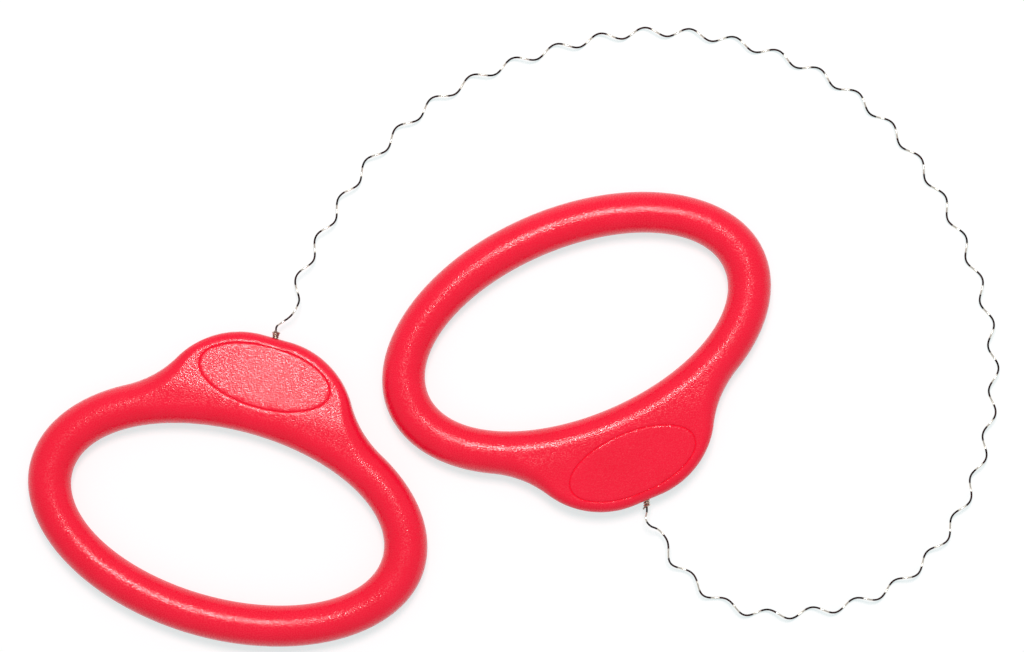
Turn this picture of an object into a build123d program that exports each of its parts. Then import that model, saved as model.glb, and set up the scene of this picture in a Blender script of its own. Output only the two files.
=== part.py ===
from build123d import *
import os
from math import atan2, cos, degrees, pi, radians, sin, sqrt, tan

os.makedirs("parts", exist_ok=True)

# A clay cutter: a curled steel wire between two finger-ring handles, lying flat.
# Millimetres. X and Y run along the surface it lies on, Z is up from that surface.
# A handle's own frame has its origin at the middle of the finger opening, x along
# the opening and y towards the crown that the wire leaves from.

# Handle: an oval ring that widens into a rounded crown
opening_length = 83.6
opening_width = 43.5
end_width = 11.3  # ring width at the two ends of the opening
far_width = 10.8  # ring width on the side away from the wire
near_width = 11.65  # ring width beside the crown
crown_depth = 25.7  # from the opening to the land that the wire leaves from
land_width = 7.2
shoulder_radius = 23.0
flank_radius = 28.0  # hollow curve between shoulder and ring
handle_thickness = 10.4
grip_rounding = 5.0  # edges round the finger opening
outer_rounding = 3.2  # edges round the outside
taper_degrees = 6.0  # by which each face of the crown falls towards the land
taper_bend_radius = 40.0  # where the level face turns into the taper
taper_gap = 0.3  # level strip between the grip's rounding and that turn
land_edge = 0.05  # least height left between the land's middle and its rounding

# Oval line sunk into the crown, round a bare panel
panel_length = 34.8
panel_width = 16.0
panel_from_land = 10.45  # land to the middle of the panel
panel_line_width = 0.7
panel_line_depth = 0.3

# Swivel anchor, sunk into the crown behind the land
mouth_flare = 0.25  # how much wider the mouth is than the throat
mouth_depth = 0.5
throat_length = 0.8
throat_clearance = 0.2  # round the wire's wraps
eye_hole_radius = 0.55
eye_rim_width = 0.7
eye_thickness = 0.9
eye_from_throat = 1.7  # inner end of the throat to the middle of the eye
eye_clearance = 0.25
eye_end_room = 0.6  # behind the eye, inside the sleeve
neck_gap = 0.35  # between the eye's hole and the end of the thick shank
shank_radius = 0.8
running_clearance = 0.05
sleeve_web_length = 4.0
sleeve_wall = 0.45
head_radius = 1.3
head_thickness = 1.2
head_end_room = 0.35
cap_thickness = 1.0

# Steel wire
wire_diameter = 0.5
wrap_gap = 0.45  # between the standing wire and the loop and wraps beside it
wrap_spacing = 0.95  # from turn to turn
wrap_turns = 1.75
wrap_start = 0.1  # outside the land, where the wraps reach their steady spacing
wrap_bend_radius = 0.95  # bend from the loop's leg into the wraps
stem_length = 2.2  # standing wire outside the land, up to the curls
curl_radius = 1.2
curl_spacing = 11.7  # from turn to turn
curl_ramp = 3.5  # length over which the curls grow from the straight stem
curl_first_turn_share = -0.28  # of a turn, where the curls start at the left handle
floor_gap = 0.05  # under the lowest point of the curls

# Where each handle lies: middle of its opening, and the turn of its x axis
left_centre = (-44.6, -24.8)
left_turn_degrees = -15.46
right_centre = (46.1, 22.6)
right_turn_degrees = 203.03

# Route of the curled wire between the handles, from left to right, chosen by hand:
# x, y and the height as a share of the drop from the handles' middle to the surface
wire_route = [
    (-31.0, 24.5, 1.0),
    (-27.5, 26.2, 1.0),
    (-26.6, 35.3, 0.7),
    (-20.7, 47.2, 0.35),
    (-7.9, 67.9, 0.0),
    (14.4, 87.2, 0.0),
    (42.4, 97.7, 0.0),
    (72.6, 101.9, 0.0),
    (101.9, 94.8, 0.0),
    (127.4, 78.8, 0.0),
    (144.4, 53.7, 0.0),
    (154.9, 26.2, 0.0),
    (154.8, -3.3, 0.0),
    (145.0, -29.4, 0.0),
    (126.0, -47.2, 0.0),
    (101.0, -52.2, 0.0),
    (84.6, -48.9, 0.2),
    (72.9, -39.3, 0.5),
    (68.3, -31.7, 0.8),
    (65.7, -28.1, 0.95),
    (65.1, -26.1, 1.0),
    (66.0, -24.3, 1.0),
]
route_arc_share = 0.45  # of the shorter run beside a corner, where its arc begins

# Fineness of the calculations
bisection_steps = 50
level_tolerance = 1e-6  # two directions count as one below this
straight_tolerance = 1e-9
level_share = 0.9  # of a face's normal along Z, above which it is top or underside
overrun = 5.0  # by which a cut reaches past what it cuts
bend_shares = (0, 1 / 2, 1)  # of the bend into the wraps, where its arcs meet
sample_shares = (0, 1 / 3, 2 / 3)  # of each arc, where the wire's gap to itself is measured

# Sizes that follow from the ones above
opening_x = opening_length / 2
opening_y = opening_width / 2
land_y = opening_y + crown_depth
taper_y = opening_y + grip_rounding + taper_gap
taper = radians(taper_degrees)
slope_length = land_y - taper_y - taper_bend_radius * sin(taper)
middle_height = handle_thickness / 2
land_height = middle_height - taper_bend_radius * (1 - cos(taper)) - slope_length * tan(taper)
edge_rounding = min(outer_rounding, land_height - land_edge)
wire_radius = wire_diameter / 2
wrap_radius = wire_diameter + wrap_gap
eye_radius = eye_hole_radius + eye_rim_width
throat_radius = wrap_radius + wire_radius + throat_clearance
mouth_radius = throat_radius + mouth_flare
sleeve_depth = mouth_depth + throat_length
eye_depth = sleeve_depth + eye_from_throat
rim_depth = eye_depth - eye_hole_radius - eye_rim_width / 2
chamber_radius = max(eye_radius, head_radius) + eye_clearance
sleeve_radius = chamber_radius + sleeve_wall
web_depth = eye_depth + eye_radius + eye_end_room
head_depth = web_depth + sleeve_web_length + running_clearance
cap_depth = head_depth + head_thickness + head_end_room
sleeve_end_depth = cap_depth + cap_thickness
lying_height = curl_radius + wire_radius + floor_gap


def handle_plane(centre, turn):
    """Plane of a handle's rest face: x along the opening, y towards the crown."""
    x_dir = (cos(radians(turn)), sin(radians(turn)), 0)
    return Plane(origin=(*centre, 0), x_dir=x_dir, z_dir=(0, 0, 1))


def anchor_plane(plane):
    """Plane on the land at mid height: x out along the wire, y level, z up."""
    origin = plane.from_local_coords((0, land_y, middle_height))
    return Plane(origin=origin, x_dir=plane.y_dir, z_dir=(0, 0, 1))


def flank_arc(near_radii, shoulder_middle, shoulder_size, radius):
    """Middle of the hollow arc that touches ring and shoulder, and its angle on the ring."""
    low, high = 0, pi / 2
    for step in range(bisection_steps):
        angle = (low + high) / 2
        normal = Vector(cos(angle) / near_radii[0], sin(angle) / near_radii[1]).normalized()
        middle = Vector(near_radii[0] * cos(angle), near_radii[1] * sin(angle)) + normal * radius
        if (middle - shoulder_middle).length > shoulder_size + radius:
            low = angle
        else:
            high = angle
    return middle, degrees(angle)


def crowned_ring(plane, inset):
    """The bare handle, drawn in evenly by inset on every side."""
    ring_x = opening_x + end_width - inset
    far_y = opening_y + far_width - inset
    near_y = opening_y + near_width - inset
    shoulder_middle = Vector(land_width / 2, land_y - shoulder_radius)
    shoulder_size = shoulder_radius - inset
    hollow = flank_radius + inset
    hollow_middle, ring_angle = flank_arc((ring_x, near_y), shoulder_middle, shoulder_size, hollow)
    shoulder_touch = shoulder_middle + (hollow_middle - shoulder_middle).normalized() * shoulder_size
    land_end = shoulder_middle + Vector(0, shoulder_size)
    half_height = middle_height - inset
    middle = plane.from_local_coords((0, 0, middle_height))
    side_view = Plane(origin=middle, x_dir=plane.y_dir, z_dir=plane.x_dir)

    with BuildPart() as ring:
        with BuildSketch(plane):
            with BuildLine():
                EllipticalCenterArc((0, 0), ring_x, far_y, start_angle=-90, arc_size=90)
                near = EllipticalCenterArc((0, 0), ring_x, near_y, start_angle=0, arc_size=ring_angle)
                TangentArc(near @ 1, shoulder_touch, tangent=near % 1)
                TangentArc(land_end, shoulder_touch, tangent=(1, 0))
                Line(land_end, (0, land_end.Y))
                mirror(about=Plane.YZ)
            make_face()
            Ellipse(opening_x + inset, opening_y + inset, mode=Mode.SUBTRACT)
        extrude(amount=handle_thickness)
        with BuildSketch(side_view):
            with BuildLine():
                level = Line((-land_y, half_height), (taper_y, half_height))
                bend = JernArc(level @ 1, level % 1, taper_bend_radius, -taper_degrees)
                slope = Line(bend @ 1, bend @ 1 + bend % 1 * crown_depth)
                Line(level @ 0, (-land_y, 0))
                Line(slope @ 1, ((slope @ 1).X, 0))
                mirror(about=Plane.XZ)
            make_face()
        extrude(amount=ring_x + overrun, both=True, mode=Mode.INTERSECT)
        faces = ring.faces().filter_by(Axis.Z)
        fillet([edge for face in faces for edge in face.inner_wires().edges()], grip_rounding - inset)
        faces = ring.faces().filter_by(lambda face: abs(face.normal_at().Z) > level_share)
        edges = [edge for face in faces for edge in face.outer_wire().edges()]
        fillet([edge for edge in edges if edges.count(edge) == 1], edge_rounding - inset)
    return ring.part


def turned_solid(plane, depths_and_radii):
    """Solid of revolution about the wire's axis: corners as depth inside the land and radius."""
    anchor = anchor_plane(plane)
    corners = [(-depth, radius) for depth, radius in depths_and_radii]
    with BuildPart() as turned:
        with BuildSketch(anchor):
            Polygon(*corners, align=None)
        revolve(axis=Axis(anchor.origin, anchor.x_dir))
    return turned.part


def make_handle(plane):
    """Ring and crown in one moulding, with the panel line and the anchor's pocket."""
    line_x = panel_length / 2
    line_y = panel_width / 2
    half_line = panel_line_width / 2

    with BuildPart() as panel_line:
        with BuildSketch(plane.offset(middle_height)):
            with Locations((0, land_y - panel_from_land)):
                Ellipse(line_x + half_line, line_y + half_line)
                Ellipse(line_x - half_line, line_y - half_line, mode=Mode.SUBTRACT)
        extrude(amount=handle_thickness)
        add(crowned_ring(plane, panel_line_depth), mode=Mode.SUBTRACT)

    pocket = turned_solid(plane, [
        (-mouth_depth, 0),
        (-mouth_depth, mouth_radius + mouth_flare),
        (mouth_depth, throat_radius),
        (sleeve_depth, throat_radius),
        (sleeve_depth, sleeve_radius),
        (sleeve_end_depth, sleeve_radius),
        (sleeve_end_depth, 0),
    ])

    with BuildPart() as handle:
        add(crowned_ring(plane, 0))
        add(panel_line.part, mode=Mode.SUBTRACT)
        add(pocket, mode=Mode.SUBTRACT)
    return handle.part


def make_sleeve(plane):
    """Metal bush moulded into the crown: a chamber for the eye, a web, a chamber for the head."""
    return turned_solid(plane, [
        (sleeve_depth, chamber_radius),
        (sleeve_depth, sleeve_radius),
        (sleeve_end_depth, sleeve_radius),
        (sleeve_end_depth, chamber_radius),
        (web_depth + sleeve_web_length, chamber_radius),
        (web_depth + sleeve_web_length, shank_radius + running_clearance),
        (web_depth, shank_radius + running_clearance),
        (web_depth, chamber_radius),
    ])


def make_cap(plane):
    """Disc that closes the sleeve behind the pin's head."""
    return turned_solid(plane, [
        (cap_depth, 0),
        (cap_depth, chamber_radius),
        (sleeve_end_depth, chamber_radius),
        (sleeve_end_depth, 0),
    ])


def make_pin(plane):
    """Swivel pin: a flat eye for the wire, a shank that turns in the web and a captive head."""
    anchor = anchor_plane(plane)
    shank_end = eye_depth + eye_hole_radius + neck_gap
    shank = turned_solid(plane, [
        (shank_end, 0),
        (shank_end, shank_radius),
        (head_depth, shank_radius),
        (head_depth, head_radius),
        (head_depth + head_thickness, head_radius),
        (head_depth + head_thickness, 0),
    ])
    with BuildPart() as pin:
        add(shank)
        with BuildSketch(anchor.offset(-eye_thickness / 2)):
            with Locations((-eye_depth, 0)):
                Circle(eye_radius)
        extrude(amount=eye_thickness)
        with BuildSketch(anchor.offset(-eye_thickness)):
            with Locations((-eye_depth, 0)):
                Circle(eye_hole_radius)
        extrude(amount=2 * eye_thickness, mode=Mode.SUBTRACT)
    return pin.part


def biarc_corners(start, start_way, end, end_way):
    """Where the two arcs meet that join two points, each square to its own direction."""
    chord = end - start
    ways = start_way + end_way
    spread = 2 * (1 - start_way.dot(end_way))
    reach = chord.dot(ways)
    if spread < level_tolerance:
        leg = chord.dot(chord) / (2 * reach)
    else:
        leg = (sqrt(reach * reach + spread * chord.dot(chord)) - reach) / spread
    return (start + start_way * leg + end - end_way * leg) / 2


def wire_path(stations):
    """Line through points with directions: straight where it can be, two arcs elsewhere."""
    with BuildLine() as path:
        for (start, start_way), (end, end_way) in zip(stations, stations[1:]):
            chord = (end - start).normalized()
            if min(chord.dot(start_way), chord.dot(end_way)) > 1 - straight_tolerance:
                Line(start, end)
            else:
                middle = biarc_corners(start, start_way, end, end_way)
                first = TangentArc(start, middle, tangent=start_way)
                TangentArc(middle, end, tangent=first % 1)
    return path.wire()


def wire_tube(name, stations, apart):
    """Round wire swept along the stations; prints its volume and its least gap to itself."""
    path = wire_path(stations)
    with BuildPart() as tube:
        with BuildSketch(Plane(origin=path @ 0, z_dir=path % 0)):
            Circle(wire_radius)
        sweep(path=path)
    edges = path.edges()
    radii = [edge.radius for edge in edges if edge.geom_type == GeomType.CIRCLE]
    points = [edge @ share for edge in edges for share in sample_shares]
    walked = [0]
    for before, after in zip(points, points[1:]):
        walked.append(walked[-1] + (after - before).length)
    gaps = [
        (points[j] - points[i]).length - wire_diameter
        for i in range(len(points))
        for j in range(i)
        if walked[i] - walked[j] > apart
    ]
    section = pi * wire_radius**2
    print(
        f"{name}: length {path.length:.1f}, tightest bend {min(radii):.2f}, least gap to itself",
        f"{min(gaps):.2f}, volume / (section x length) {tube.part.volume / (section * path.length):.4f}",
    )
    return tube.part


def make_loop(plane, name):
    """Standing wire, loop through the pin's eye and wraps back round the standing wire."""
    anchor = anchor_plane(plane)
    inwards, outwards = (-1, 0, 0), (1, 0, 0)

    def station(place, way):
        ahead = anchor.from_local_coords(way) - anchor.origin
        return anchor.from_local_coords(place), ahead.normalized()

    def wrap_station(reach, around, heading):
        level, height = sin(around), -cos(around)
        place = (reach, wrap_radius * level, wrap_radius * height)
        return station(place, (cos(heading), -sin(heading) * height, sin(heading) * level))

    stations = [
        station((stem_length, 0, 0), inwards),
        station((wrap_start, 0, 0), inwards),
        station((-rim_depth, 0, wrap_radius), inwards),
        station((-rim_depth, 0, -wrap_radius), outwards),
    ]
    wrap_heading = atan2(2 * pi * wrap_radius, wrap_spacing)
    for share in bend_shares:
        heading = wrap_heading * share
        around = wrap_bend_radius * (1 - cos(heading)) / wrap_radius
        reach = wrap_start - wrap_bend_radius * (sin(wrap_heading) - sin(heading))
        stations.append(wrap_station(reach, around, heading))
    for quarter in range(1, round(4 * wrap_turns) + 1):
        reach = wrap_start + quarter * wrap_spacing / 4
        stations.append(wrap_station(reach, around + quarter * pi / 2, wrap_heading))
    tail, way = stations[-1]
    stations.append((tail + way * wire_diameter, way))
    return wire_tube(name, stations, pi * wrap_radius)


def stem_end(plane):
    """Middle of the standing wire's outer end."""
    return anchor_plane(plane).from_local_coords((stem_length, 0, 0))


def wire_route_path(left_plane, right_plane):
    """Axis of the curls: straight runs joined by arcs, as large as their runs allow."""
    drop = middle_height - lying_height
    points = [stem_end(left_plane)]
    points += [Vector(x, y, lying_height + drop * share) for x, y, share in wire_route]
    points.append(stem_end(right_plane))
    radii = []
    for before, corner, after in zip(points, points[1:], points[2:]):
        half_turn = radians((corner - before).get_angle(after - corner)) / 2
        shorter = min((corner - before).length, (after - corner).length)
        radii.append(route_arc_share * shorter * cos(half_turn) / sin(half_turn))
    print("route radii:", [round(radius, 1) for radius in radii])
    return FilletPolyline(*points, radius=radii)


def make_curled_wire(left_plane, right_plane):
    """The free wire: a long open right-handed curl along the route, straight at its ends."""
    route = wire_route_path(left_plane, right_plane)
    length = route.length
    stations = []
    quarter_count = round(4 * length / curl_spacing)
    for quarter in range(quarter_count + 1):
        walked = wire_diameter + (length - 2 * wire_diameter) * quarter / quarter_count
        point = route.position_at(walked, position_mode=PositionMode.LENGTH)
        ahead = route.tangent_at(walked, position_mode=PositionMode.LENGTH)
        level = Vector(0, 0, 1).cross(ahead).normalized()
        upward = ahead.cross(level)
        from_end = min(walked, length - walked) - wire_diameter
        ramp = min(1, from_end / curl_ramp)
        radius = curl_radius * ramp * ramp * (3 - 2 * ramp)
        widening = curl_radius * 6 * ramp * (1 - ramp) / curl_ramp
        if walked > length / 2:
            widening = -widening
        angle = 2 * pi * (walked / curl_spacing + curl_first_turn_share)
        spoke = level * cos(angle) + upward * sin(angle)
        around = upward * cos(angle) - level * sin(angle)
        way = ahead + spoke * widening + around * (radius * 2 * pi / curl_spacing)
        stations.append((point + spoke * radius, way.normalized()))
    stations.insert(0, (route @ 0, route % 0))
    stations.append((route @ 1, route % 1))
    return wire_tube("cutting_wire", stations, curl_spacing)


pieces = {}
planes = {
    "left": handle_plane(left_centre, left_turn_degrees),
    "right": handle_plane(right_centre, right_turn_degrees),
}
for side, plane in planes.items():
    pieces[f"{side}_handle"] = make_handle(plane)
    pieces[f"{side}_anchor_sleeve"] = make_sleeve(plane)
    pieces[f"{side}_anchor_cap"] = make_cap(plane)
    pieces[f"{side}_swivel_pin"] = make_pin(plane)
    pieces[f"{side}_wire_loop"] = make_loop(plane, f"{side}_wire_loop")
pieces["cutting_wire"] = make_curled_wire(planes["left"], planes["right"])

for name, piece in pieces.items():
    piece.label = name
    export_step(piece, f"parts/{name}.step")
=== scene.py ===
from math import atan2, cos, pi, radians, sin, tan

import bmesh
import bpy
import numpy as np
from mathutils import Matrix, Vector, geometry


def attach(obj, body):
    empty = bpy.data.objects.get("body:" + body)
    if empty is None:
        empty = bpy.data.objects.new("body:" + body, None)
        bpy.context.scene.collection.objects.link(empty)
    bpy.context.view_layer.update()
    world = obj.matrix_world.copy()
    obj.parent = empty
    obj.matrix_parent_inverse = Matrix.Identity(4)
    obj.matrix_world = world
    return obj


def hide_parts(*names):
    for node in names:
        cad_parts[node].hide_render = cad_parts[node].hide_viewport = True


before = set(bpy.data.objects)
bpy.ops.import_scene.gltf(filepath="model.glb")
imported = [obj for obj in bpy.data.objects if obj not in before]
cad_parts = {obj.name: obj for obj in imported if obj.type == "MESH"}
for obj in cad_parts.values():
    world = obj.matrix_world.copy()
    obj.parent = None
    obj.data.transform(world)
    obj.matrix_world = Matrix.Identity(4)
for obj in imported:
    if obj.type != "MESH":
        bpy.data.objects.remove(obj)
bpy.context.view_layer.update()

# Metres throughout. A handle's own frame has its origin at the middle of the finger opening,
# x along the opening, y towards the crown and z up from the middle of its thickness.

# Picture: straight down, and this wide at the middle of the handles' thickness
VIEW_MIDDLE = (0.02935, 0.02415)
VIEW_WIDTH = 0.26624
CAMERA_HEIGHT = 1.0
CAMERA_REACH = (0.01, 100)
SENSOR_WIDTH = 36.0

# Where each handle lies
LEFT_CENTRE = (-0.0446, -0.0248)
LEFT_TURN = radians(-15.46)
RIGHT_CENTRE = (0.0461, 0.0226)
RIGHT_TURN = radians(203.03)

# Handle: half its thickness, then its outline in its own frame
HALF_THICKNESS = 0.0052
OPENING_X = 0.0418
OPENING_Y = 0.02175
OUTSIDE_X = 0.0531
OUTSIDE_FAR_Y = 0.03255
OUTSIDE_NEAR_Y = 0.0334
LAND_Y = 0.04745
LAND_HALF_WIDTH = 0.0036
SHOULDER_RADIUS = 0.023
FLANK_RADIUS = 0.028
GRIP_ROUNDING = 0.0052
RING_ROUNDING = 0.0052  # outside of the ring
CROWN_ROUNDING = 0.0023  # outside of the crown
NARROWING_Y = (0.026, 0.041)  # between these the outside rounding narrows from one to the other
OUTLINE_POINTS = 800  # on each arc of half the outside, and twice as many on its far one
STATIONS = 720  # points all round the handle
ROUNDING_STEPS = 14  # up each rounded edge
SHARP_ANGLE = radians(40)  # an edge that turns more than this is sharp
HALVINGS = 50  # in the search for the point where ring and flank touch
CORRECTIONS = 30  # in the search for the opening's nearest point

# Taper of the crown's two faces: where it starts, the radius it bends over with, and its slope
TAPER_Y = 0.02705
TAPER_BEND = 0.040
TAPER = radians(6)
FACE_GRID = 0.0008  # from one point of the tapered face to the next

# Oval line sunk into the crown
PANEL_MIDDLE_Y = 0.037
PANEL_X = 0.0174
PANEL_Y = 0.008
LINE_HALF_WIDTH = 0.00027
LINE_DEPTH = 0.00026
LINE_STATIONS = 320
LINE_ROWS = 13

# Beyond this line and within this half width the two flat faces are made apart, as the crown's faces
CROWN_FROM_Y = 0.021
CROWN_HALF_WIDTH = 0.0314
SAME_POINT = 1e-9  # nearer points on a crown's face are one point
JOIN_DISTANCE = 1e-7  # nearer points of the face and the rest are joined

# Flash along the parting line
FLASH_HEIGHT = 0.00006
FLASH_HALF_WIDTH = 0.00012

# Pocket of the swivel anchor: depth inside the land and radius of each corner
MOUTH_RADIUS = 0.0019
THROAT_RADIUS = 0.0014
MOUTH_DEPTH = 0.0005
SLEEVE_DEPTH = 0.0013
SLEEVE_RADIUS = 0.0020
SLEEVE_END = 0.01145
POCKET_SIDES = 64

# Wire
WIRE_DIAMETER = 0.0005
CURL_RADIUS = 0.0012
CURL_SPACING = 0.011696
CURL_RAMP = 0.00318  # over which the curl opens at each end
CURL_FIRST_TURN = -0.45
CURL_POINTS_PER_TURN = 16
CURL_FINENESS = 3  # of its round section, and from one of its points to the next
LYING_HEIGHT = 0.0015  # of the curl's axis above the surface

# Its route: x, y, and how far it is up from where it lies (0) to the handles' middle height (1)
WIRE_ROUTE = [
    (-0.0324, 0.0250, 1.0),
    (-0.0267, 0.0248, 1.0),
    (-0.0277, 0.0332, 0.7),
    (-0.0197, 0.0492, 0.35),
    (-0.0085, 0.0672, 0.0),
    (0.0119, 0.0863, 0.0),
    (0.0449, 0.0985, 0.0),
    (0.0726, 0.1022, 0.0),
    (0.1030, 0.0943, 0.0),
    (0.1263, 0.0799, 0.0),
    (0.1444, 0.0541, 0.0),
    (0.1555, 0.0240, 0.0),
    (0.1547, -0.0035, 0.0),
    (0.1450, -0.0290, 0.0),
    (0.1280, -0.0465, 0.0),
    (0.0999, -0.0522, 0.0),
    (0.0832, -0.0486, 0.2),
    (0.0716, -0.0374, 0.5),
    (0.0683, -0.0321, 0.8),
    (0.0677, -0.0276, 0.95),
    (0.0639, -0.0259, 1.0),
    (0.0644, -0.0241, 1.0),
]

# Knot at each handle: where the standing wire leaves it (reach outside the land, and to the side),
# then the wraps' first and last radius, their number of turns and where they start and end
LEFT_KNOT = {
    "stem": (0.00203, -0.00061),
    "radii": (0.00060, 0.00105),
    "turns": 3.5,
    "reach": (-0.0002, 0.0016),
}
RIGHT_KNOT = {
    "stem": (0.00157, 0.00093),
    "radii": (0.00064, 0.00084),
    "turns": 3.25,
    "reach": (-0.0003, 0.0016),
}
LEAN_DEPTH = 0.001  # inside the land, where the standing wire begins to lean
LOOP_RADIUS = 0.00095  # loop through the pin's eye
RIM_DEPTH = 0.0021
LOOP_POINTS = 9
WRAP_POINTS = 16  # each turn
TAIL_LENGTH = 0.0005
WIRE_SIDES = 16

# How finely a smooth line is read between two of its control points
ROUTE_RESOLUTION = 64
KNOT_RESOLUTION = 6

# Noise patterns: how much finer detail each has
SOFT_DETAIL = 2.0
CLOUD_DETAIL = 3.0
GRAIN_DETAIL = 0.3
MARK_DETAIL = 1.0

# Red plastic: its two tones, its clouds, waves and grain, then its roughness and what adds to it
DEEP_RED = (0.90, 0.005, 0.030, 1)
BRIGHT_RED = (1.0, 0.009, 0.044, 1)
CLOUD_SIZE = 0.007
WAVE_SIZE = 0.014
WAVE_DEPTH = 0.0004
WAVE_STRENGTH = 0.06
GRAIN_SIZE = 0.00036
GRAIN_DEPTH = 0.00006
GRAIN_STRENGTH = 1.0
MATT_SPECK_SIZE = 0.00034
MATT_SPECK_RANGE = (0.46, 0.54)
PLASTIC_ROUGHNESS = 0.08
CLOUD_ROUGHNESS = 0.04
MATT_ROUGHNESS = 0.24
PLASTIC_SHINE = 0.38

# Drawn steel: tones of the free wire's skin and of the knots', both with painted reflection, and of the
# painted highlight where the curls lie level
# free wire's skin: partly its own dark finish, and near black as painted dark reflection of the room
WIRE_SKIN_AND_DARK_REFLECTION = (0.006, 0.001, 0.001, 1), (0.035, 0.007, 0.006, 1)
# knots' tones: a reddish dark tone as painted reflection of the red crown, mixed at random with pale steel
KNOT_STEEL_AND_RED_REFLECTION = (0.20, 0.035, 0.03, 1), (0.85, 0.74, 0.60, 1)
# painted highlight: pale steel colour put where the curls lie level and would catch the lamp
PAINTED_HIGHLIGHT_STEEL = (0.86, 0.80, 0.70, 1)
WIRE_PATCH_SIZE = 0.0024
KNOT_PATCH_SIZE = 0.0006
PATCH_RANGE = (0.35, 0.65)
PAINTED_HIGHLIGHT_RANGE = (-0.35, -0.6)  # of the cosine of twice the curl's angle
DRAWING_MARK_SIZE = 0.00011
DRAWING_MARK_STRENGTH = 0.3
STEEL_ROUGHNESS = 0.18
PATCH_ROUGHNESS = 0.12
SKIN_SHINE = 0.1

# Turned pins and bushes
TURNED_STEEL = (0.58, 0.58, 0.58)
TURNED_BRASS = (0.72, 0.56, 0.27)
DULLING = 0.85
TURNING_MARK_SIZE = 0.0002
TURNING_MARK_STRENGTH = 0.4
MARK_DEPTH = 0.00001
TURNED_ROUGHNESS = 0.2
MARK_ROUGHNESS = 0.15

# Pale surface. As shown, its own colour and its glow add up to white. The colour is the warmer one
# and the glow the cooler one, so that the handles' red light leaves the shadows grey.
SURFACE_REACH = 6
SURFACE_GREY = (0.8, 0.8, 0.8, 1)
SHOWN_COLOUR = (0.51, 0.37, 0.37, 1)
SHOWN_GLOW = (0.79, 1, 1, 1)
SHOWN_GLOW_STRENGTH = 0.66

# Light
KEY_PLACE = (0.03, 0.38, 1.05)
KEY_AIM = (0.03, 0.02, 0)
KEY_SIZE = (0.34, 0.30)
KEY_POWER = 7.6
ROOM_COLOUR = (0.95, 0.97, 1, 1)
ROOM_STRENGTH = 0.46


def handle_frame(centre, turn):
    """Matrix from a handle's own frame to the row's."""
    return Matrix.Translation((*centre, HALF_THICKNESS)) @ Matrix.Rotation(turn, 4, "Z")


LEFT_FRAME = handle_frame(LEFT_CENTRE, LEFT_TURN)
RIGHT_FRAME = handle_frame(RIGHT_CENTRE, RIGHT_TURN)


def make_camera():
    """Straight down on the middle of the picture."""
    data = bpy.data.cameras.new("photo_camera")
    data.sensor_width = SENSOR_WIDTH
    data.lens = SENSOR_WIDTH * (CAMERA_HEIGHT - HALF_THICKNESS) / VIEW_WIDTH
    data.clip_start, data.clip_end = CAMERA_REACH
    camera = bpy.data.objects.new("photo_camera", data)
    camera.location = (*VIEW_MIDDLE, CAMERA_HEIGHT)
    bpy.context.collection.objects.link(camera)
    bpy.context.scene.camera = camera


def stem_end(place, knot):
    """Outer end of the standing wire at a handle."""
    reach, aside = knot["stem"]
    return place @ Vector((aside, LAND_Y + reach, 0))


def smooth_line(name, points):
    """Curve of one open NURBS spline with the points as its control points."""
    curve = bpy.data.curves.new(name, "CURVE")
    curve.dimensions = "3D"
    spline = curve.splines.new("NURBS")
    spline.points.add(len(points) - 1)
    for place, point in zip(spline.points, points):
        place.co = (*point, 1)
    spline.order_u = 3
    spline.use_endpoint_u = True
    piece = bpy.data.objects.new(name, curve)
    bpy.context.collection.objects.link(piece)
    return piece


def read_line(points, resolution):
    """Points close together on the smooth line that control points give."""
    guide = smooth_line("guide_line", points)
    guide.data.resolution_u = resolution
    mesh = bpy.data.meshes.new_from_object(guide.evaluated_get(bpy.context.evaluated_depsgraph_get()))
    line = np.array([vertex.co[:] for vertex in mesh.vertices])
    bpy.data.objects.remove(guide)
    bpy.data.meshes.remove(mesh)
    return line


def make_curled_wire():
    """The free wire, a long open curl along its route, straight at both ends; and how often it turns."""
    start, end = stem_end(LEFT_FRAME, LEFT_KNOT), stem_end(RIGHT_FRAME, RIGHT_KNOT)
    drop = HALF_THICKNESS - LYING_HEIGHT
    route = [start, *(Vector((x, y, LYING_HEIGHT + drop * share)) for x, y, share in WIRE_ROUTE), end]
    line = read_line(route, ROUTE_RESOLUTION)
    walked = np.concatenate([[0], np.cumsum(np.linalg.norm(np.diff(line, axis=0), axis=1))])
    length = walked[-1]
    count = round(length / CURL_SPACING * CURL_POINTS_PER_TURN)
    at = np.linspace(WIRE_DIAMETER, length - WIRE_DIAMETER, count + 1)
    axis = np.stack([np.interp(at, walked, line[:, k]) for k in range(3)], axis=1)
    ahead = np.gradient(axis, axis=0)
    ahead /= np.linalg.norm(ahead, axis=1)[:, None]
    level = np.cross((0, 0, 1), ahead)
    level /= np.linalg.norm(level, axis=1)[:, None]
    upward = np.cross(ahead, level)
    ramp = np.clip((np.minimum(at, length - at) - WIRE_DIAMETER) / CURL_RAMP, 0, 1)
    radius = CURL_RADIUS * ramp * ramp * (3 - 2 * ramp)
    angle = 2 * pi * (at / CURL_SPACING + CURL_FIRST_TURN)
    curl = axis + radius[:, None] * (level * np.cos(angle)[:, None] + upward * np.sin(angle)[:, None])
    wire = smooth_line("curled_wire", [line[0], *curl, line[-1]])
    wire.data.bevel_depth = WIRE_DIAMETER / 2
    wire.data.bevel_resolution = CURL_FINENESS
    wire.data.resolution_u = CURL_FINENESS
    wire.data.use_fill_caps = True
    return wire, length / CURL_SPACING


class Signal:
    """A shader socket that is added to, multiplied by or set against others and numbers."""

    def __init__(self, finish, socket):
        self.finish = finish
        self.socket = socket

    def math(self, operation, *others):
        """Result of a Math node on this socket and the others."""
        return self.finish.make("Math", {"operation": operation}, self, *others)

    def __add__(self, other):
        return self.math("ADD", other)

    def __mul__(self, other):
        return self.math("MULTIPLY", other)

    def __or__(self, other):
        """The greater of the two."""
        return self.math("MAXIMUM", other)

    __radd__ = __add__
    __rmul__ = __mul__


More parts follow.
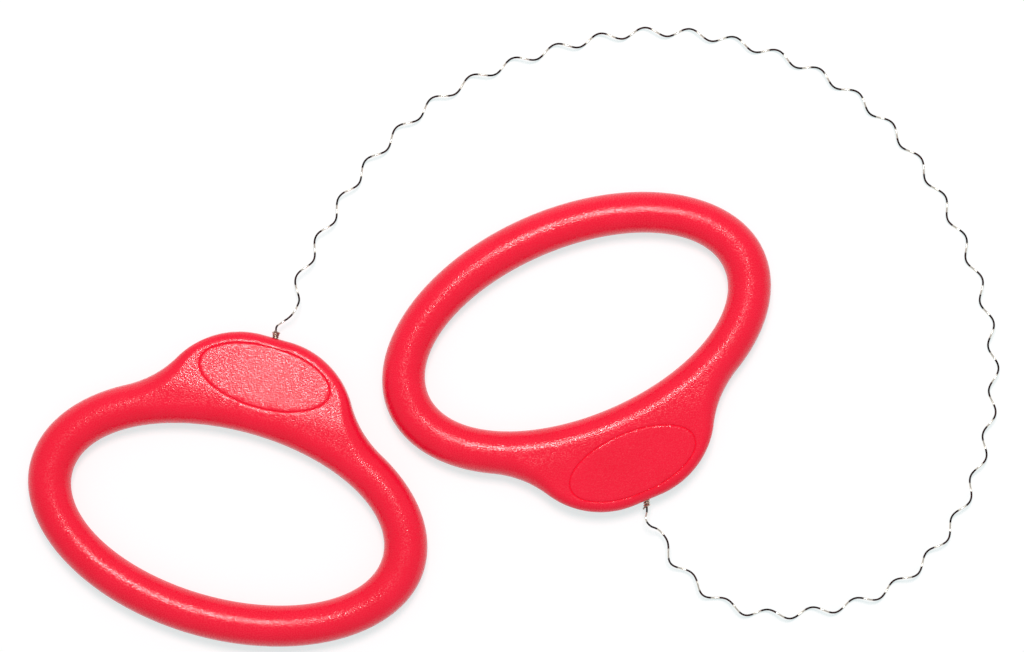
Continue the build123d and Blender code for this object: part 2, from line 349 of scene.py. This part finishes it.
class Finish:
    """A material and the nodes that make it."""

    def __init__(self, name):
        self.material = bpy.data.materials.new(name)
        self.material.use_nodes = True
        self.tree = self.material.node_tree
        self.tree.nodes.clear()

    def make(self, kind, settings=None, *inputs, output=0, **named):
        """Adds a node: its settings first, then its inputs by place or by name."""
        node = self.tree.nodes.new("ShaderNode" + kind)
        for key, value in (settings or {}).items():
            setattr(node, key, value)
        sockets = list(enumerate(inputs))
        sockets += [(key.replace("_", " "), value) for key, value in named.items()]
        for key, value in sockets:
            if isinstance(value, Signal):
                self.tree.links.new(value.socket, node.inputs[key])
            else:
                node.inputs[key].default_value = value
        return Signal(self, node.outputs[output])

    def place(self):
        """Point on the piece, in metres."""
        return self.make("TexCoord", output="Object")

    def noise(self, size, detail=SOFT_DETAIL):
        """Cloudy pattern whose patches are about this size."""
        return self.make("TexNoise", None, Vector=self.place(), Scale=1 / size, Detail=detail)

    def rise(self, signal, start, end):
        """From 0 where the signal is at the start to 1 where it is at the end, and held there."""
        return self.make("MapRange", None, signal, start, end)

    def bump(self, height, depth, strength, **under):
        """Surface direction of a pattern of this depth."""
        return self.make("Bump", None, Height=height, Distance=depth, Strength=strength, **under)

    def blend(self, factor, first, second):
        """Colour between two colours."""
        return self.make("Mix", {"data_type": "RGBA"}, factor, output=2, A=first, B=second)

    def surface(self, shader):
        """Ends the material with its shader."""
        output = self.tree.nodes.new("ShaderNodeOutputMaterial")
        self.tree.links.new(shader.socket, output.inputs["Surface"])
        return self.material


def moulded_plastic():
    """Red satin moulding with a fine spark-eroded grain of glossy and matt specks."""
    finish = Finish("red_moulding")
    cloud = finish.noise(CLOUD_SIZE, CLOUD_DETAIL)
    matt = finish.rise(finish.noise(MATT_SPECK_SIZE, GRAIN_DETAIL), *MATT_SPECK_RANGE)
    waves = finish.bump(finish.noise(WAVE_SIZE), WAVE_DEPTH, WAVE_STRENGTH)
    grain = finish.bump(finish.noise(GRAIN_SIZE, GRAIN_DETAIL), GRAIN_DEPTH, GRAIN_STRENGTH, Normal=waves)
    return finish.surface(finish.make(
        "BsdfPrincipled", None,
        Base_Color=finish.blend(cloud, DEEP_RED, BRIGHT_RED),
        Roughness=PLASTIC_ROUGHNESS + CLOUD_ROUGHNESS * cloud + MATT_ROUGHNESS * matt,
        Specular_IOR_Level=PLASTIC_SHINE,
        Normal=grain,
    ))


def drawn_steel(name, skin_and_reflection, patch_size, metal, curls):
    """Drawn spring wire: a darker skin with painted reflection in its tones, and a painted highlight where
    its curls lie level.
    """
    finish = Finish(name)
    patch = finish.noise(patch_size, CLOUD_DETAIL)
    tone = finish.blend(finish.rise(patch, *PATCH_RANGE), *skin_and_reflection)
    along = finish.make("SeparateXYZ", None, finish.make("UVMap", {"uv_map": "UVMap"}))
    twice_turned = 4 * pi * curls * along + 4 * pi * CURL_FIRST_TURN
    # painted highlight: pale and metallic twice each turn, where the curl runs level
    painted_highlight = finish.rise(twice_turned.math("COSINE"), *PAINTED_HIGHLIGHT_RANGE)
    marks = finish.noise(DRAWING_MARK_SIZE, MARK_DETAIL)
    return finish.surface(finish.make(
        "BsdfPrincipled", None,
        Base_Color=finish.blend(painted_highlight, tone, PAINTED_HIGHLIGHT_STEEL),
        Metallic=painted_highlight | metal,
        Roughness=STEEL_ROUGHNESS + PATCH_ROUGHNESS * patch,
        Specular_IOR_Level=SKIN_SHINE,
        Normal=finish.bump(marks, MARK_DEPTH, DRAWING_MARK_STRENGTH),
    ))


def turned_metal(name, colour):
    """Lathe-turned metal inside the crown."""
    finish = Finish(name)
    marks = finish.noise(TURNING_MARK_SIZE)
    dull = tuple(DULLING * part for part in colour)
    return finish.surface(finish.make(
        "BsdfPrincipled", None,
        Base_Color=finish.blend(marks, (*dull, 1), (*colour, 1)),
        Metallic=1.0,
        Roughness=TURNED_ROUGHNESS + MARK_ROUGHNESS * marks,
        Normal=finish.bump(marks, MARK_DEPTH, TURNING_MARK_STRENGTH),
    ))


def outline():
    """Points close together round half of the outside, from the far side to the land, with normals."""
    low, high = 0, pi / 2
    shoulder_middle = np.array((LAND_HALF_WIDTH, LAND_Y - SHOULDER_RADIUS))
    for _ in range(HALVINGS):
        touch = (low + high) / 2
        normal = np.array((cos(touch) / OUTSIDE_X, sin(touch) / OUTSIDE_NEAR_Y))
        normal /= np.linalg.norm(normal)
        ring_touch = np.array((OUTSIDE_X * cos(touch), OUTSIDE_NEAR_Y * sin(touch)))
        flank_middle = ring_touch + normal * FLANK_RADIUS
        if np.linalg.norm(flank_middle - shoulder_middle) > SHOULDER_RADIUS + FLANK_RADIUS:
            low = touch
        else:
            high = touch

    def arc(middle, radii, start, end, count):
        """Points and normals along part of an ellipse."""
        angles = np.linspace(start, end, count, endpoint=False)
        ways = np.stack([np.cos(angles), np.sin(angles)], axis=1)
        normals = ways / radii
        return middle + ways * radii, normals / np.linalg.norm(normals, axis=1)[:, None]

    to_shoulder = shoulder_middle - flank_middle
    flank_start = atan2(*(ring_touch - flank_middle)[::-1]) % (2 * pi)
    flank_end = atan2(*to_shoulder[::-1]) % (2 * pi)
    flank, flank_normals = arc(flank_middle, (FLANK_RADIUS,) * 2, flank_start, flank_end, OUTLINE_POINTS)
    shoulder_start = atan2(*(-to_shoulder)[::-1])
    stretches = [
        arc((0, 0), (OUTSIDE_X, OUTSIDE_FAR_Y), -pi / 2, 0, 2 * OUTLINE_POINTS),
        arc((0, 0), (OUTSIDE_X, OUTSIDE_NEAR_Y), 0, touch, OUTLINE_POINTS),
        (flank, -flank_normals),
        arc(shoulder_middle, (SHOULDER_RADIUS,) * 2, shoulder_start, pi / 2, OUTLINE_POINTS),
        (np.array([(LAND_HALF_WIDTH, LAND_Y), (0, LAND_Y)]), np.array([(0, 1), (0, 1)])),
    ]
    points = np.concatenate([points for points, normals in stretches])
    return points, np.concatenate([normals for points, normals in stretches])


def nearest_on_opening(points):
    """Angle on the opening's ellipse that lies square below each point outside it."""
    angle = np.arctan2(points[:, 1] / OPENING_Y, points[:, 0] / OPENING_X)
    for _ in range(CORRECTIONS):
        x, y = OPENING_X * np.cos(angle), OPENING_Y * np.sin(angle)
        dx, dy = -OPENING_X * np.sin(angle), OPENING_Y * np.cos(angle)
        slope = (x - points[:, 0]) * dx + (y - points[:, 1]) * dy
        bend = dx * dx + dy * dy - (x - points[:, 0]) * x - (y - points[:, 1]) * y
        angle = angle - slope / bend
    return angle


def smoothstep(share):
    """Share from 0 to 1, eased at both ends."""
    share = np.clip(share, 0, 1)
    return share * share * (3 - 2 * share)


def handle_stations():
    """Points and normals of opening and outside, matched square to the opening."""
    points, normals = outline()
    at = nearest_on_opening(points)
    half = np.linspace(-pi / 2, pi / 2, STATIONS // 2 + 1)
    outside = np.stack([np.interp(half, at, points[:, k]) for k in range(2)], axis=1)
    outward = np.stack([np.interp(half, at, normals[:, k]) for k in range(2)], axis=1)
    outside[0, 0] = outside[-1, 0] = 0
    outward /= np.linalg.norm(outward, axis=1)[:, None]
    mirrored = np.array((-1, 1))
    outside = np.concatenate([outside, outside[-2:0:-1] * mirrored])
    outward = np.concatenate([outward, outward[-2:0:-1] * mirrored])
    angle = np.linspace(-pi / 2, 1.5 * pi, STATIONS, endpoint=False)
    opening = np.stack([OPENING_X * np.cos(angle), OPENING_Y * np.sin(angle)], axis=1)
    inward = np.stack([np.cos(angle) / OPENING_X, np.sin(angle) / OPENING_Y], axis=1)
    inward /= np.linalg.norm(inward, axis=1)[:, None]
    return opening, inward, outside, outward


def face_height(y):
    """Height of the upper face: level, then bent over into the crown's taper."""
    past = np.clip(y - TAPER_Y, 0, None)
    bend_length = TAPER_BEND * sin(TAPER)
    in_bend = TAPER_BEND - np.sqrt(TAPER_BEND**2 - np.clip(past, 0, bend_length) ** 2)
    return HALF_THICKNESS - in_bend - tan(TAPER) * np.clip(past - bend_length, 0, None)


def inside_outline(points, border):
    """Which points lie inside a closed border."""
    inside = np.zeros(len(points), bool)
    x, y = points[:, 0], points[:, 1]
    for (ax, ay), (bx, by) in zip(border, np.roll(border, -1, axis=0)):
        crosses = (ay > y) != (by > y)
        at = ax + (y - ay) * (bx - ax) / (by - ay if by != ay else 1)
        inside ^= crosses & (x < at)
    return inside


def gaps(points, others):
    """Distance from each point to the nearest of the others."""
    return np.linalg.norm(points[:, None] - others[None], axis=2).min(axis=1)


def crown_face(name, border, side, grooved):
    """Upper or lower face of the crown, tapered, with or without its oval line."""
    flat_border = border[:, :2]
    low, high = flat_border.min(axis=0), flat_border.max(axis=0)
    grid_x, grid_y = np.meshgrid(*(np.arange(a, b, FACE_GRID) for a, b in zip(low, high)))
    grid = np.stack([grid_x.ravel(), grid_y.ravel()], axis=1)
    grid = grid[inside_outline(grid, flat_border)]
    grid = grid[gaps(grid, flat_border) > FACE_GRID / 2]
    rows, drops = [], []
    if grooved:
        around = np.linspace(0, 2 * pi, LINE_STATIONS, endpoint=False)
        ways = np.stack([np.cos(around), np.sin(around)], axis=1)
        line = ways * (PANEL_X, PANEL_Y) + (0, PANEL_MIDDLE_Y)
        normals = ways / (PANEL_X, PANEL_Y)
        normals /= np.linalg.norm(normals, axis=1)[:, None]
        grid = grid[gaps(grid, line) > LINE_HALF_WIDTH + FACE_GRID / 4]
        for offset in np.linspace(-LINE_HALF_WIDTH, LINE_HALF_WIDTH, LINE_ROWS):
            rows.append(line + normals * offset)
            drops.append(np.full(LINE_STATIONS, LINE_DEPTH * (1 + cos(pi * offset / LINE_HALF_WIDTH)) / 2))
    flat = np.concatenate([flat_border, grid, *rows])
    level = np.zeros(len(flat_border) + len(grid))
    heights = face_height(flat[:, 1]) - np.concatenate([level, *drops])
    heights[:len(border)] = np.abs(border[:, 2])
    edges = [(k, (k + 1) % len(border)) for k in range(len(border))]
    found = geometry.delaunay_2d_cdt([Vector(point) for point in flat], edges, [], 1, SAME_POINT)
    places = [(*found[0][k], side * heights[origin[0]]) for k, origin in enumerate(found[3])]
    face = bpy.data.meshes.new(name)
    face.from_pydata(places, [], found[2])
    return face


def pocket_cutter(place):
    """Turned body that the swivel anchor's pocket is cut with."""
    corners = [
        (-MOUTH_DEPTH, MOUTH_RADIUS), (MOUTH_DEPTH, THROAT_RADIUS), (SLEEVE_DEPTH, THROAT_RADIUS),
        (SLEEVE_DEPTH, SLEEVE_RADIUS), (SLEEVE_END, SLEEVE_RADIUS),
    ]
    body = bmesh.new()
    turns = [2 * pi * k / POCKET_SIDES for k in range(POCKET_SIDES)]
    rings = [
        [body.verts.new((radius * cos(turn), LAND_Y - depth, radius * sin(turn))) for turn in turns]
        for depth, radius in corners
    ]
    for ring, following in zip(rings, rings[1:]):
        for k in range(POCKET_SIDES):
            after = (k + 1) % POCKET_SIDES
            body.faces.new((ring[k], ring[after], following[after], following[k]))
    body.faces.new(rings[0])
    body.faces.new(rings[-1])
    bmesh.ops.recalc_face_normals(body, faces=body.faces)
    mesh = bpy.data.meshes.new("pocket")
    body.to_mesh(mesh)
    body.free()
    mesh.transform(place)
    cutter = bpy.data.objects.new("pocket", mesh)
    bpy.context.collection.objects.link(cutter)
    return cutter


def settle(piece):
    """Makes what a piece's modifiers give its own mesh."""
    mesh = bpy.data.meshes.new_from_object(piece.evaluated_get(bpy.context.evaluated_depsgraph_get()))
    piece.modifiers.clear()
    piece.data = mesh


def make_shell(name, place):
    """The handle's whole skin, with its rounded edges, tapered crown and anchor pocket."""
    opening, inward, outside, outward = handle_stations()
    opening = opening + inward * FLASH_HEIGHT
    outside = outside - outward * FLASH_HEIGHT
    narrowing = smoothstep((outside[:, 1] - NARROWING_Y[0]) / (NARROWING_Y[1] - NARROWING_Y[0]))
    rounding = RING_ROUNDING + (CROWN_ROUNDING - RING_ROUNDING) * narrowing
    turns = np.linspace(0, pi / 2, ROUNDING_STEPS + 1)
    rows = [np.column_stack([opening - inward * FLASH_HEIGHT, np.zeros(STATIONS)])]
    for turn in turns:
        height = max(GRIP_ROUNDING * sin(turn), FLASH_HALF_WIDTH)
        row = opening + inward * GRIP_ROUNDING * (1 - cos(turn))
        rows.append(np.column_stack([row, np.full(STATIONS, height)]))
    face_start = len(rows) - 1
    for turn in turns[::-1]:
        row = outside - outward * (rounding * (1 - cos(turn)))[:, None]
        height = face_height(row[:, 1]) - rounding * (1 - sin(turn))
        rows.append(np.column_stack([row, np.maximum(height, FLASH_HALF_WIDTH)]))
    rows.append(np.column_stack([outside + outward * FLASH_HEIGHT, np.zeros(STATIONS)]))

    # the underside mirrors the top, and shares its two parting lines
    under = [row * (1, 1, -1) for row in rows[-2:0:-1]]
    count = len(rows) + len(under)
    crown = (outside[:, 1] > CROWN_FROM_Y) & (np.abs(outside[:, 0]) < CROWN_HALF_WIDTH)
    open_rings = (face_start, len(rows) + ROUNDING_STEPS)
    faces = []
    for ring in range(count):
        above = (ring + 1) % count
        for station in range(STATIONS):
            after = (station + 1) % STATIONS
            if ring in open_rings and crown[station] and crown[after]:
                continue
            corners = ((ring, station), (above, station), (above, after), (ring, after))
            faces.append([row * STATIONS + column for row, column in corners])
    mesh = bpy.data.meshes.new(name)
    mesh.from_pydata([tuple(point) for point in np.concatenate(rows + under)], [], faces)

    border = np.concatenate([rows[face_start][crown], rows[face_start + 1][crown][::-1]])
    joined = bmesh.new()
    joined.from_mesh(mesh)
    for side, grooved in ((1, True), (-1, False)):
        face = crown_face(name + "_face", border, side, grooved)
        joined.from_mesh(face)
        bpy.data.meshes.remove(face)
    bmesh.ops.remove_doubles(joined, verts=joined.verts, dist=JOIN_DISTANCE)
    loose = [vertex for vertex in joined.verts if not vertex.link_faces]
    bmesh.ops.delete(joined, geom=loose, context="VERTS")
    bmesh.ops.recalc_face_normals(joined, faces=joined.faces)
    joined.to_mesh(mesh)
    joined.free()
    mesh.transform(place)
    mesh.shade_smooth()
    shell = bpy.data.objects.new(name, mesh)
    bpy.context.collection.objects.link(shell)

    cutter = pocket_cutter(place)
    pocket = shell.modifiers.new("anchor_pocket", "BOOLEAN")
    pocket.operation = "DIFFERENCE"
    pocket.solver = "EXACT"
    pocket.object = cutter
    settle(shell)
    bpy.data.objects.remove(cutter)
    shell.data.shade_smooth()
    shell.data.set_sharp_from_angle(angle=SHARP_ANGLE)
    return shell


def wire_tree():
    """Geometry nodes that give a line a round wire's thickness."""
    tree = bpy.data.node_groups.new("round_wire", "GeometryNodeTree")
    given = (("Line", "Geometry"), ("Radius", "Float"), ("Sides", "Int"), ("Finish", "Material"))
    for name, kind in given:
        tree.interface.new_socket(name, in_out="INPUT", socket_type="NodeSocket" + kind)
    tree.interface.new_socket("Wire", in_out="OUTPUT", socket_type="NodeSocketGeometry")

    def node(kind, **inputs):
        """Adds a node, with links to its inputs or their values."""
        made = tree.nodes.new(kind)
        for name, value in inputs.items():
            socket = made.inputs[name.replace("_", " ")]
            if isinstance(value, bpy.types.NodeSocket):
                tree.links.new(value, socket)
            else:
                socket.default_value = value
        return made.outputs

    group = node("NodeGroupInput")
    section = node("GeometryNodeCurvePrimitiveCircle", Resolution=group["Sides"], Radius=group["Radius"])
    line = node("GeometryNodeMeshToCurve", Mesh=group["Line"])
    tube = node("GeometryNodeCurveToMesh", Curve=line[0], Profile_Curve=section[0], Fill_Caps=True)
    whole = node("GeometryNodeRealizeInstances", Geometry=tube[0])
    finished = node("GeometryNodeSetMaterial", Geometry=whole[0], Material=group["Finish"])
    node("NodeGroupOutput", Wire=finished[0])
    return tree


def knot_line(knot):
    """Points from the standing wire's end in to the loop, round it, and out again as wraps."""
    stem_reach, stem_aside = knot["stem"]
    start, end = knot["reach"]
    first, last = knot["radii"]
    points = [(0, stem_reach, 0), (0, stem_reach / 2, 0), (0, start, 0)]

    # in through the mouth beside the axis, round the loop and back on the other side
    middle = (start - RIM_DEPTH) / 2
    points += [(0, middle - start / 2, LOOP_RADIUS / 4), (0, middle + start, LOOP_RADIUS * 3 / 4)]
    for turn in np.linspace(pi / 2, -pi / 2, LOOP_POINTS):
        points.append((0, -RIM_DEPTH - LOOP_RADIUS * cos(turn), LOOP_RADIUS * sin(turn)))
    points.append((0, middle, -(LOOP_RADIUS + first) / 2))

    # wraps round the standing wire, then the wire's short tail
    count = round(knot["turns"] * WRAP_POINTS)
    for step in range(count + 1):
        share = step / count
        turn = 2 * pi * knot["turns"] * share
        radius = first + (last - first) * share**3
        points.append((radius * sin(turn), start + (end - start) * share, -radius * cos(turn)))
    before, tail = np.array(points[-2]), np.array(points[-1])
    ahead = (tail - before) / np.linalg.norm(tail - before)
    points.append(tuple(tail + ahead * TAIL_LENGTH))

    # the standing wire leans to the side, and its wraps with it
    line = np.array(points)
    lean = np.clip((line[:, 1] + LEAN_DEPTH) / (stem_reach + LEAN_DEPTH), 0, 1)
    line[:, 0] += stem_aside * lean
    line[:, 1] += LAND_Y
    return line


def make_knot(name, place, knot, tree, finish):
    """The wire's loop through the eye, and its wraps round the standing wire."""
    line = read_line(knot_line(knot), KNOT_RESOLUTION)
    mesh = bpy.data.meshes.new(name)
    mesh.from_pydata([tuple(point) for point in line], [(k, k + 1) for k in range(len(line) - 1)], [])
    mesh.transform(place)
    piece = bpy.data.objects.new(name, mesh)
    bpy.context.collection.objects.link(piece)
    wound = piece.modifiers.new("round_wire", "NODES")
    wound.node_group = tree
    values = {"Radius": WIRE_DIAMETER / 2, "Sides": WIRE_SIDES, "Finish": finish}
    for item in tree.interface.items_tree:
        if item.name in values:
            wound[item.identifier] = values[item.name]
    settle(piece)
    piece.data.shade_smooth()
    return piece


def make_floor():
    """Pale surface that shows white to the camera and in reflections, and keeps shadows."""
    finish = Finish("pale_surface")
    camera, glossy, through = (
        finish.make("LightPath", output=name)
        for name in ("Is Camera Ray", "Is Glossy Ray", "Is Transmission Ray")
    )
    plain = finish.make("BsdfDiffuse", None, Color=SURFACE_GREY)
    pale = finish.make("BsdfDiffuse", None, Color=SHOWN_COLOUR)
    glow = finish.make("Emission", None, Color=SHOWN_GLOW, Strength=SHOWN_GLOW_STRENGTH)
    shown = finish.make("AddShader", None, pale, glow)
    material = finish.surface(finish.make("MixShader", None, camera | glossy | through, plain, shown))
    mesh = bpy.data.meshes.new("pale_surface")
    ways = ((-1, -1), (1, -1), (1, 1), (-1, 1))
    corners = [(SURFACE_REACH * x, SURFACE_REACH * y, 0) for x, y in ways]
    mesh.from_pydata(corners, [], [(0, 1, 2, 3)])
    floor = bpy.data.objects.new("pale_surface", mesh)
    floor.data.materials.append(material)
    bpy.context.collection.objects.link(floor)


def area_light(name, place, aim, size, power):
    """Soft box at a place, turned to what it aims at."""
    data = bpy.data.lights.new(name, "AREA")
    data.shape = "RECTANGLE"
    data.size, data.size_y = size
    data.energy = power
    lamp = bpy.data.objects.new(name, data)
    lamp.location = place
    lamp.rotation_mode = "QUATERNION"
    lamp.rotation_quaternion = (Vector(aim) - Vector(place)).to_track_quat("-Z", "Y")
    bpy.context.collection.objects.link(lamp)


def make_light():
    """Soft box a little towards the top of the picture, and an even pale room."""
    area_light("key_box", KEY_PLACE, KEY_AIM, KEY_SIZE, KEY_POWER)
    world = bpy.data.worlds.new("room")
    world.use_nodes = True
    room = world.node_tree.nodes["Background"].inputs
    room["Color"].default_value = ROOM_COLOUR
    room["Strength"].default_value = ROOM_STRENGTH
    bpy.context.scene.world = world


# Camera and cord
make_camera()
curled_wire, curl_count = make_curled_wire()

# Finishes
red = moulded_plastic()
steel = drawn_steel("drawn_steel", WIRE_SKIN_AND_DARK_REFLECTION, WIRE_PATCH_SIZE, 0.0, curl_count)
wound_steel = drawn_steel("wound_steel", KNOT_STEEL_AND_RED_REFLECTION, KNOT_PATCH_SIZE, 1.0, 0)
turned_steel = turned_metal("turned_steel", TURNED_STEEL)
brass = turned_metal("turned_brass", TURNED_BRASS)

# Handles
for side, place in (("left", LEFT_FRAME), ("right", RIGHT_FRAME)):
    shell = make_shell(side + "_grip", place)
    shell.data.materials.clear()
    shell.data.materials.append(red)
    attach(shell, side + "_grip")
    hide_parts(side + "_handle")

# Wire with its knots
tree = wire_tree()
for side, place, knot in (("left", LEFT_FRAME, LEFT_KNOT), ("right", RIGHT_FRAME, RIGHT_KNOT)):
    piece = make_knot(side + "_knot", place, knot, tree, wound_steel)
    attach(piece, "wire")
    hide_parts(side + "_wire_loop")

curled_wire.data.materials.append(steel)
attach(curled_wire, "wire")
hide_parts("cutting_wire")
stem_end(LEFT_FRAME, LEFT_KNOT)

# Swivels: the CAD's own pieces with their finishes
for ending, finish in (("_swivel_pin", turned_steel), ("_anchor_sleeve", brass), ("_anchor_cap", brass)):
    for side in ("left", "right"):
        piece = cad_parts[side + ending]
        piece.data.materials.clear()
        piece.data.materials.append(finish)

# Surroundings and light
make_floor()
make_light()
bpy.context.scene.view_settings.view_transform = "Standard"
